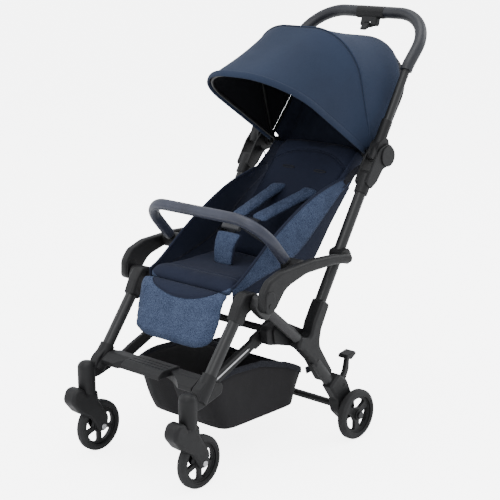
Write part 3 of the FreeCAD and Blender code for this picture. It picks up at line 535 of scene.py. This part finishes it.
# Each bow is a U in a plane through the handle fold axis: the plane's angle up from +Y,
# height, half width, corner bend and where its legs begin, in millimetres.
FRONT_BOW = (146.5, 390.0, 157.0, 138.0, 16.0)
MIDDLE_BOW = (105.0, 323.0, 170.0, 124.0, 16.0)
RIM_FRONT = (59.0, 321.0, 178.0, 164.0, 22.0)
REAR_RIM = (50.0, 317.0, 179.0, 172.0, 30.0)
HOOD_THICK = 1.6
ARCH_STEPS = 72


def bow_outline(bow, inset):
    """Evenly spaced points of a bow from its right foot over the top to its left foot."""
    angle, height, half, bend, foot = bow
    half, height, bend = half - inset, height - inset, bend - inset
    turn = math.radians(angle)

    def place(x, out):
        return at(x, LOCK[0] + out * math.cos(turn), LOCK[1] + out * math.sin(turn))

    corners = [place(-half, foot), place(-half, height), place(half, height), place(half, foot)]
    return even_path(bent_path(corners, [bend / 1000] * 2), ARCH_STEPS)


def hood_surface(first, second, belly, inset):
    """Surface stretched straight between two bows, or drawn in between them by its belly."""
    front, rear = bow_outline(first, inset), bow_outline(second, inset)
    pivot = at(0, *LOCK)

    def surface(row, column):
        index = round(column * ARCH_STEPS)
        point = front[index].lerp(rear[index], row)
        outward = Vector((0, point.y - pivot.y, point.z - pivot.z))
        draw = belly * math.sin(math.pi * row) * min(outward.length / 0.15, 1.0) / 1000
        return point - (point - Vector((0, pivot.y, pivot.z))).normalized() * draw
    return surface


def hood_panel(name, first, second, belly, rows, surface, inset=0.0, thick=HOOD_THICK):
    panel = sheet_between(name, hood_surface(first, second, belly, inset),
                          hood_surface(first, second, belly, inset + thick), rows, ARCH_STEPS)
    panel.data.materials.append(surface)
    return panel


def bow_tape(name, bow, width, height, surface, inset):
    """Rolled tape or piping sewn along a bow."""
    path = bow_outline(bow, inset)
    turn = math.radians(bow[0])
    facing = Vector((0, -math.sin(turn), math.cos(turn)))
    tape = swept(name, path, oval(width, height, 14), lambda share: facing)
    tape.data.materials.append(surface)
    return tape


def bow_top(bow):
    turn = math.radians(bow[0])
    return at(0, LOCK[0] + bow[1] * math.cos(turn), LOCK[1] + bow[1] * math.sin(turn))


def hood():
    front = hood_panel("hood_front", FRONT_BOW, MIDDLE_BOW, 5.0, 20, HOOD)
    lining = hood_panel("hood_front_lining", FRONT_BOW, MIDDLE_BOW, 5.0, 20, LINING, 2.0, 0.8)
    rear = hood_panel("hood_rear", MIDDLE_BOW, RIM_FRONT, 3.0, 20, HOOD)
    rear_lining = hood_panel("hood_rear_lining", MIDDLE_BOW, RIM_FRONT, 4.0, 20, LINING, 2.0, 0.8)
    hem = bow_tape("hood_front_hem", FRONT_BOW, 0.0034, 0.0085, HOOD, 0.5)
    ridge = bow_tape("hood_ridge_piping", MIDDLE_BOW, 0.0022, 0.0022, HOOD, -0.4)
    band = hood_panel("hood_rim_band", RIM_FRONT, REAR_RIM, 1.0, 6, RIM_CLOTH)
    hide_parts("canopy_front")
    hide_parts("canopy_rear")
    top_front, top_middle, top_rear = (bow_top(bow) for bow in (FRONT_BOW, MIDDLE_BOW, RIM_FRONT))
    for piece in (front, lining, hem):
        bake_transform(piece)
        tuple(top_middle)
        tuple(top_front)
    for piece in (rear, rear_lining):
        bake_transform(piece)
        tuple(top_rear)
        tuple(top_middle)
    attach(ridge, "canopy_middle")
    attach(band, "chassis")
    curtain()


def curtain():
    """Dark rear curtain from the rear rim down behind the head of the backrest."""
    rim = bow_outline(REAR_RIM, 2.0)
    rim_half, foot_half, foot = 0.177, 150, (646, 668)

    def surface(offset):
        def place(row, column):
            top = rim[round(column * ARCH_STEPS)]
            share = top.x / rim_half
            point = top.lerp(at(foot_half * share, *foot), row)
            hang = math.sin(math.pi * row)
            fold = 3.0 * math.sin(share * 19) + 1.5 * math.sin(share * 41 + 1.0)
            return point + Vector((0, (12 + fold + offset) * hang + offset, 0)) / 1000
        return place
    piece = sheet_between("hood_curtain", surface(0.0), surface(1.4), 16, ARCH_STEPS)
    piece.data.materials.append(CURTAIN)
    at(0, *foot)
    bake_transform(piece)


hood()


# ---------------------------------------------------------------- upholstery helpers

SEAT_HALF = 134.0
SIDE_LIMIT = 135.0
BACK_FOOT, BACK_HEAD = (404.0, 436.0), (652.0, 706.0)
BACK_LENGTH = math.hypot(BACK_HEAD[0] - BACK_FOOT[0], BACK_HEAD[1] - BACK_FOOT[1])
BACK_ALONG = ((BACK_HEAD[0] - BACK_FOOT[0]) / BACK_LENGTH, (BACK_HEAD[1] - BACK_FOOT[1]) / BACK_LENGTH)


def back_point(x, along, out):
    """Place on the backrest: along it from its foot, and out of its front, in millimetres."""
    return at(x, BACK_FOOT[0] + BACK_ALONG[0] * along - BACK_ALONG[1] * out,
              BACK_FOOT[1] + BACK_ALONG[1] * along + BACK_ALONG[0] * out)


def side_points(pairs, x=0.0):
    return [at(x, y, z) for y, z in pairs]


def rounding(share, start, end):
    """Share of the full width near the two rounded ends of a pad."""
    reach = 1.0
    if share < start:
        reach = share / start
    elif share > 1 - end:
        reach = (1 - share) / end
    return max(1 - (1 - min(reach, 1.0)) ** 2.4, 0.0) ** (1 / 2.4)


def pad(name, spine, half_width, half_thick, start=0.08, end=0.08, steps=60, up=(0, 0, 1)):
    """Closed crowned pad along a spine, its width and thickness functions of the share."""
    path = even_path(smooth_path(spine, 60), steps)

    def section(share):
        near = max(rounding(min(max(share, 0.002), 0.998), start, end), 0.05)
        return [(half_width(share) * near ** 0.5 * u, half_thick(share) * near * v)
                for u, v in oval(1.0, 1.0, 36, 0.45)]
    facing = Vector(up)
    return swept(name, path, section, lambda share: facing)


def surface_tree(piece):
    work = bmesh.new()
    work.from_mesh(piece.data)
    tree = BVHTree.FromBMesh(work)
    work.free()
    return tree


RAY_START = 0.08  # how far outside a piece the drop starts, in metres


def laid_on(piece, path, direction, lift=0.0):
    """The path's points dropped on a piece along a direction, then lifted back off it."""
    tree = surface_tree(piece)
    fall = Vector(direction).normalized()
    result = []
    for point in path:
        hit = tree.ray_cast(point - fall * RAY_START, fall)[0]
        if hit is not None:
            result.append(hit - fall * lift)
    return result


def sew_channel(piece, path, depth, width):
    """Press a seam line into a soft piece."""
    tree = KDTree(len(path))
    for index, point in enumerate(path):
        tree.insert(point, index)
    tree.balance()
    normals = [vertex.normal.copy() for vertex in piece.data.vertices]
    for vertex, normal in zip(piece.data.vertices, normals):
        distance = tree.find(vertex.co)[2]
        if distance < width:
            share = 0.5 + 0.5 * math.cos(math.pi * distance / width)
            vertex.co -= normal * depth * share
    piece.data.update()


def stitches(name, path, surface, length=0.0042, gap=0.0026, radius=0.00055, facing=(0, -1, 0)):
    """Row of short thread stitches along a path."""
    total = sum((b - a).length for a, b in zip(path, path[1:]))
    count = max(int(total / (length + gap)), 1)
    fine = even_path(path, count * 4)
    points, faces = [], []
    up = Vector(facing)
    for index in range(count):
        start, end = fine[index * 4], fine[index * 4 + 3]
        along = (end - start).normalized()
        side = along.cross(up).normalized() * radius
        rise = side.cross(along).normalized() * radius
        base = len(points)
        for place, size in ((0.0, 0.4), (0.3, 1.0), (0.7, 1.0), (1.0, 0.4)):
            centre = start.lerp(end, place)
            points += [centre + side * size, centre + rise * size,
                       centre - side * size, centre - rise * size]
        for ring in range(3):
            for corner in range(4):
                following = (corner + 1) % 4
                faces.append((base + ring * 4 + corner, base + ring * 4 + following,
                              base + ring * 4 + 4 + following, base + ring * 4 + 4 + corner))
        faces.append((base + 3, base + 2, base + 1, base))
        faces.append((base + 12, base + 13, base + 14, base + 15))
    piece = add_mesh(name, points, faces)
    piece.data.materials.append(surface)
    return piece


def piping(name, path, radius, surface, facing=(0, -1, 0)):
    hint = Vector(facing)
    piece = swept(name, path, oval(radius, radius, 10), lambda share: hint)
    piece.data.materials.append(surface)
    return piece


def strap(name, path, width, surface, facing, thick=0.0016):
    """Flat webbing along a path, its face towards a direction."""
    hint = Vector(facing)
    piece = swept(name, path, oval(width / 2, thick / 2, 16, 0.35), lambda share: hint)
    piece.data.materials.append(surface)
    length = sum((after - before).length for before, after in zip(path, path[1:]))
    return piece


# ---------------------------------------------------------------- seat

def front_arc(x):
    """Height of the line where the patterned cloth meets the plain one, across the front."""
    return 398 + 38 * (x / SEAT_HALF) ** 2


def two_tone(piece, lower):
    """Second cloth on the faces below the front arc."""
    piece.data.materials.append(lower)
    for face in piece.data.polygons:
        low = face.center.z * 1000 < front_arc(face.center.x * 1000)
        face.material_index = 1 if low and face.center.y < at(0, 200, 0).y else 0


def seat_cushion():
    spine = side_points(((146, 408), (156, 428), (190, 430), (260, 431), (330, 431), (402, 430)))
    cushion = pad("seat_cushion", spine, lambda share: SEAT_HALF / 1000,
                  lambda share: 0.0115 + 0.003 * math.exp(-((share - 0.1) / 0.12) ** 2),
                  0.04, 0.04)
    puffed(cushion, 0.006, half=SIDE_LIMIT)
    welt = [at(SEAT_HALF * 2 * (step / 60 - 0.5), 186 - 5 * math.cos(math.pi * (step / 30 - 1)), 470)
            for step in range(61)]
    seam = laid_on(cushion, welt, (0, 0, -1))
    sew_channel(cushion, seam, 0.0022, 0.008)
    finish_piece(cushion, SEAT, "chassis")
    two_tone(cushion, MELANGE)
    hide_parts("seat_base")
    thread = stitches("seat_front_stitching", laid_on(cushion, welt, (0, 0, -1), 0.0003),
                      THREAD, facing=(0, 0, 1))
    finish_piece(thread, THREAD, "chassis")


def back_rest():
    length = BACK_LENGTH
    spine = [back_point(0, along, 1.0) for along in (-12, 60, 140, 220, 300, length - 4)]

    def half_width(share):
        head = max((share - 0.86) / 0.14, 0.0)
        return SEAT_HALF / 1000 * (1 - 0.16 * head ** 3)

    facing = back_point(0, 0, 1) - back_point(0, 0, 0)
    cushion = pad("backrest_cushion", spine, half_width, lambda share: 0.0095, 0.03, 0.05,
                  up=facing)
    puffed(cushion, 0.006, half=SIDE_LIMIT)
    inward = back_point(0, 0, 0) - back_point(0, 0, 1)
    arc = [back_point(118 * (step / 30 - 1), 322 - 40 * abs(step / 30 - 1) ** 2.5, 30)
           for step in range(61)]
    sides = [[back_point(side * (116 + 5 * math.sin(step / 15)), 8 + 274 * step / 40, 30)
              for step in range(41)] for side, _ in SIDES]
    lines = [laid_on(cushion, path, inward) for path in (arc, *sides)]
    for line in lines:
        sew_channel(cushion, line, 0.0028, 0.009)
    finish_piece(cushion, SEAT, "backrest")
    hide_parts("backrest")
    for label, path in zip(("arc", "left", "right"), (arc, *sides)):
        line = laid_on(cushion, path, inward, 0.0006)
        welt = piping("backrest_piping_" + label, line, 0.0017, SEAT, facing=facing)
        finish_piece(welt, SEAT, "backrest")
    harness_slots(cushion, inward, facing)
    shoulder_harness(facing)


def harness_slots(cushion, inward, facing):
    """Bound slots above the shoulder pads, for a taller child's harness."""
    for side, name in SIDES:
        corners = [back_point(side * 52 + 19 * math.cos(step * math.pi / 20),
                              262 + 3 * math.sin(step * math.pi / 20), 30) for step in range(41)]
        ring = laid_on(cushion, corners, inward, 0.0003)
        edge = piping("harness_slot_" + name, ring, 0.0016, WEBBING, facing=facing)
        finish_piece(edge, WEBBING, "backrest")


def shoulder_harness(facing):
    """Padded shoulder straps from the backrest, with the webbing that runs on to the buckle."""
    for side, name in SIDES:
        foot, head = at(side * 32, 352, 548), at(side * 52, 522, 592)
        spine = [foot.lerp(head, share) + facing * 0.006 * math.sin(math.pi * share)
                 for share in (0.0, 0.25, 0.5, 0.75, 0.92)]
        spine.append(back_point(side * 54, 214, 9))
        shoulder = pad("shoulder_pad_" + name, spine, lambda share: 0.025, lambda share: 0.005,
                       0.09, 0.09, up=facing)
        puffed(shoulder, 0.003, voxel=0.003)
        finish_piece(shoulder, MELANGE, "backrest")
        if side > 0:
            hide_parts("shoulder_pads")
        lower = smooth_path([foot.lerp(head, 0.12), foot, foot.lerp(at(side * 22, 318, 552), 0.6),
                             at(side * 20, 314, 551)], 24)
        strap_down = strap("shoulder_strap_lower_" + name, lower, 0.022, WEBBING, facing)
        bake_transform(strap_down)
        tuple(foot)


def lap_harness():
    """Crotch pad and strap, and the lap belt from the buckle to the seat's sides."""
    facing = Vector((0, -1, 0.35)).normalized()
    spine = side_points(((266, 446), (268, 470), (275, 496), (284, 512), (292, 523)))
    crotch = pad("crotch_cushion", spine, lambda share: 0.028 + 0.010 * share,
                 lambda share: 0.0048, 0.05, 0.10, up=facing)
    puffed(crotch, 0.003, voxel=0.003)
    finish_piece(crotch, MELANGE, "chassis")
    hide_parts("crotch_pad")
    for side, name in SIDES:
        edge = [point + Vector((side * (0.0275 + 0.010 * step / 24), 0, 0))
                for step, point in enumerate(smooth_path(spine, 24))]
        binding = piping("crotch_binding_" + name, edge[1:-1], 0.0022, SEAT, facing=facing)
        finish_piece(binding, SEAT, "chassis")
        belt = smooth_path([at(side * 24, 306, 543), at(side * 62, 330, 512),
                            at(side * 100, 368, 474), at(side * 124, 386, 452)], 30)
        lap = strap("lap_strap_" + name, belt, 0.022, WEBBING, (0, -0.5, 1))
        finish_piece(lap, WEBBING, "chassis")
    under = smooth_path(side_points(((276, 444), (284, 480), (290, 508), (298, 534))), 20)
    tail = strap("crotch_strap", under, 0.030, WEBBING, (0, 1, -0.3))
    finish_piece(tail, WEBBING, "chassis")


CALF_HALF = 139.0


def calf_pad():
    spine = side_points(((146, 422), (130, 416), (118, 390), (103, 346), (88, 313), (75, 289)))

    def half_width(share):
        return CALF_HALF / 1000 * (1 - 0.15 * max((share - 0.5) / 0.5, 0.0) ** 1.6)
    cushion = pad("calf_cushion", spine, half_width, lambda share: 0.0085, 0.05, 0.20,
                  up=(0, -1, 0.3))
    puffed(cushion, 0.005, half=CALF_HALF)
    reach = CALF_HALF - 26
    border = [at(reach * (step / 30 - 1), 40, front_arc(reach * (step / 30 - 1)))
              for step in range(61)]
    seam = laid_on(cushion, border, (0, 1, 0))
    sew_channel(cushion, seam, 0.0020, 0.008)
    cushion.data.materials.clear()
    cushion.data.materials.append(SEAT)
    two_tone(cushion, MELANGE)
    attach(cushion, "calf_rest")
    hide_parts("calf_rest")
    welt = piping("calf_seam_piping", laid_on(cushion, border, (0, 1, 0), 0.0004), 0.0014, SEAT,
                  facing=(0, -1, 0))
    finish_piece(welt, SEAT, "calf_rest")


WING_TOP = ((150, 434), (188, 454), (300, 534), (420, 598), (520, 628), (582, 636))
WING_FOOT = ((152, 404), (240, 404), (350, 404), (430, 434), (512, 530), (582, 606))


def side_wings():
    """Soft side panels between the seat and the hood, with a wide band along the top."""
    top, foot = smooth_path(side_points(WING_TOP), 60), smooth_path(side_points(WING_FOOT), 60)
    top, foot = even_path(top, 60), even_path(foot, 60)
    for side, name in SIDES:
        def wing(skin, low, high):
            def place(row, column):
                index = round(column * 60)
                share = low + (high - low) * row
                point = foot[index].lerp(top[index], share)
                swell = math.sin(math.pi * share) * math.sin(math.pi * column) * 5.0
                ripple = 1.1 * math.sin(column * 17 + share * 3) * math.sin(math.pi * share)
                point.x = side * (135.8 + swell + ripple + skin) / 1000
                return point
            return place
        band = sheet_between("side_wing_band_" + name, wing(2.4, 0.42, 1.0), wing(0, 0.42, 1.0),
                             10, 60)
        panel = sheet_between("side_wing_panel_" + name, wing(1.8, 0.0, 0.44), wing(0.4, 0.0, 0.44),
                              14, 60)
        finish_piece(band, MELANGE, "chassis")
        finish_piece(panel, SEAT, "chassis")
        band.data.materials.append(SEAT)
        for face in band.data.polygons:
            face.material_index = 0 if face.normal.x * side > 0.2 else 1
        if side > 0:
            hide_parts("side_panels")
        edge = [wing(1.2, 0, 1)(1.0, step / 60) for step in range(61)]
        roll = piping("side_wing_piping_" + name, edge, 0.0032, SEAT, facing=(side, 0, 0))
        finish_piece(roll, SEAT, "chassis")
        seam = [wing(2.6, 0.42, 1)(0.0, step / 60) for step in range(61)]
        thread = stitches("side_wing_stitching_" + name, seam, THREAD, facing=(side, 0, 0))
        finish_piece(thread, THREAD, "chassis")
        head = [even_path(smooth_path(side_points(line), 40), 40)
                for line in (((566, 592), (608, 638), (650, 688)),
                             ((505, 612), (560, 650), (612, 694)))]

        def upper_wing(skin):
            def place(row, column):
                index = round(column * 40)
                point = head[0][index].lerp(head[1][index], row)
                point.x = side * (135.4 + skin + 1.5 * math.sin(math.pi * row)) / 1000
                return point
            return place
        upper = sheet_between("side_wing_head_" + name, upper_wing(1.4), upper_wing(0.0), 8, 40)
        finish_piece(upper, SEAT, "chassis")
        tie = smooth_path([at(side * 139, 560, 622), at(side * 150, 590, 650),
                           at(side * 168, 602, 664), at(side * 180, 606, 672)], 20)
        elastic = strap("side_wing_elastic_" + name, tie, 0.018, WEBBING, (side, 0, 0.3))
        finish_piece(elastic, WEBBING, "chassis")


# ---------------------------------------------------------------- bumper bar and grip

def bumper_sleeve():
    """Leatherette sleeve of the bumper bar, a little flat on top, over its two plugs."""
    def leg(side):
        return at(side * 190, 294, 465), at(side * 190, 181, 592)
    (left_plug, left_top), (right_plug, right_top) = leg(1), leg(-1)
    rise = (left_top - left_plug).normalized()
    corners = [left_plug + rise * 0.030, left_top, right_top, right_plug + rise * 0.030]
    path = even_path(bent_path(corners, [0.080, 0.080], 24), 110)
    across = Vector((1, 0, 0))
    up = across.cross(rise) * -1

    def section(share):
        near = rounding(share, 0.012, 0.012)
        return oval(0.0122 * (0.9 + 0.1 * near), 0.0132 * (0.9 + 0.1 * near), 28, 0.78)
    sleeve = swept("bumper_sleeve", path, section, lambda share: up)
    finish_piece(sleeve, BUMPER, "bumper_bar")
    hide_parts("bumper_bar")
    thread = stitches("bumper_stitching", [point - up * 0.0133 for point in path[2:-2]], THREAD,
                      length=0.0045, gap=0.003, facing=-up)
    finish_piece(thread, THREAD, "bumper_bar")
    for side, name in SIDES:
        plug, top = leg(side)
        turn = (top - plug).normalized()
        stem = swept("bumper_plug_" + name, [plug + turn * step * 0.002 for step in range(17)],
                     lambda share: oval(0.0066 + 0.0004 * share, 0.0066 + 0.0004 * share, 24),
                     lambda share: across)
        collar = swept("bumper_collar_" + name,
                       [plug + turn * (0.0262 + step * 0.0011) for step in range(6)],
                       lambda share: oval(0.0116 + 0.0011 * math.sin(math.pi * share),
                                          0.0116 + 0.0011 * math.sin(math.pi * share), 28),
                       lambda share: across)
        finish_piece(stem, PLASTIC, "bumper_bar")
        finish_piece(collar, PLASTIC, "bumper_bar")


# ---------------------------------------------------------------- basket

BASKET_HALF = 132.0
RIM_MIDDLE, RIM_REACH = 255.0, 176.0
FLOOR_MIDDLE, FLOOR_Z = 266.0, 84.5
FLOOR_SHARE = 0.4  # rows of the shell that make its floor


def basket_rim(share):
    """Point of the basket's rim, round from the middle of its front."""
    turn = 2 * math.pi * share
    across, along = math.sin(turn), -math.cos(turn)
    x = BASKET_HALF * math.copysign(abs(across) ** 0.22, across)
    y = RIM_MIDDLE + RIM_REACH * math.copysign(abs(along) ** 0.22, along)
    place = (y - RIM_MIDDLE + RIM_REACH) / (2 * RIM_REACH)
    z = (1 - place) ** 2 * 214 + 2 * place * (1 - place) * 262 + place ** 2 * 158
    return x, y, z


def basket_shell(skin):
    def surface(row, column):
        x, y, z = basket_rim(column)
        foot_x, foot_y = x * 0.96, FLOOR_MIDDLE + (y - RIM_MIDDLE) * 0.74
        floor_z = FLOOR_Z + skin
        if row < FLOOR_SHARE:
            share = row / FLOOR_SHARE
            return at(foot_x * share, FLOOR_MIDDLE + (foot_y - FLOOR_MIDDLE) * share,
                      floor_z - 2.5 * (1 - share ** 2))
        share = (row - FLOOR_SHARE) / (1 - FLOOR_SHARE)
        corner_x, corner_y = foot_x + (x - foot_x) * 0.25, foot_y + (y - foot_y) * 0.2
        a, b, c = (1 - share) ** 2, 2 * share * (1 - share), share ** 2
        point = Vector((a * foot_x + b * corner_x + c * (x - math.copysign(skin, x)),
                        a * foot_y + b * corner_y + c * (y - math.copysign(skin, y - RIM_MIDDLE)),
                        a * floor_z + b * (floor_z + 4) + c * z))
        fold = noise.noise(Vector((point.x * 0.018, point.y * 0.018, point.z * 0.012)))
        gather = noise.noise(Vector((column * 30, 0.5, share * 1.2)))
        push = math.sin(math.pi * share) * (3.2 * fold - 1.6) + share * 1.6 * gather
        outward = Vector((point.x, point.y - RIM_MIDDLE, 0)).normalized()
        point += outward * push
        return at(*point)
    return surface


def basket():
    shell = sheet_between("basket_shell", basket_shell(0.0), basket_shell(1.4), 26, 128)
    finish_piece(shell, BASKET)
    rim = [basket_shell(0.7)(1.0, step / 128) for step in range(129)]
    binding = swept("basket_binding", rim, oval(0.0022, 0.0075, 14, 0.6),
                    lambda share: Vector((0, 0, 1)), closed_ends=False)
    finish_piece(binding, WEBBING)
    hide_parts("basket")
    pieces = [shell, binding]
    for side, name in SIDES:
        start = at(side * 133, 424, 164)
        rear = strap("basket_rear_strap_" + name,
                     smooth_path([start, at(side * 160, 430, 178), at(side * 196, 419, 166),
                                  at(side * 211, 420, 170)], 20), 0.018, WEBBING, (0, -1, 0.4))
        finish_piece(rear, WEBBING)
        pieces.append(rear)
    for piece in pieces:
        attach(piece, "chassis")
    for piece in (shell, binding):
        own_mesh(piece)


def brace_line():
    """Bright inlay along the outer face of each brace."""
    for side, name in SIDES:
        path = [at(side * 153.2, 74 + 118 * step / 20, 232.5 + 50 * step / 20) for step in range(21)]
        inlay = swept("brace_inlay_" + name, path, oval(0.0022, 0.0005, 12, 0.5),
                      lambda share: Vector((side, 0, 0)))
        finish_piece(inlay, STEEL, "braces")


def grip_seam():
    """Stitched seam along the underside of the handle's grip."""
    half, (low_y, low_z), (top_y, top_z) = 197, (729, 893), (845, 1022.5)
    corners = [at(-half, low_y + 3, low_z + 5), at(-half, top_y, top_z), at(half, top_y, top_z),
               at(half, low_y + 3, low_z + 5)]
    path = even_path(bent_path(corners, [0.110, 0.110], 24), 160)
    inward = (at(0, low_y, low_z) - at(0, top_y, top_z)).normalized()
    facing = inward.cross(Vector((1, 0, 0)))
    ring = [point + facing * 0.0157 for point in path]
    runs = {"right": ring[6:62], "left": ring[99:155]}
    for name, run in runs.items():
        thread = stitches("grip_stitching_" + name, run, THREAD, length=0.0045, gap=0.003,
                          facing=facing)
        finish_piece(thread, THREAD, "upper_handle")


brace_line()
grip_seam()
seat_cushion()
back_rest()
lap_harness()
calf_pad()
side_wings()
bumper_sleeve()
basket()
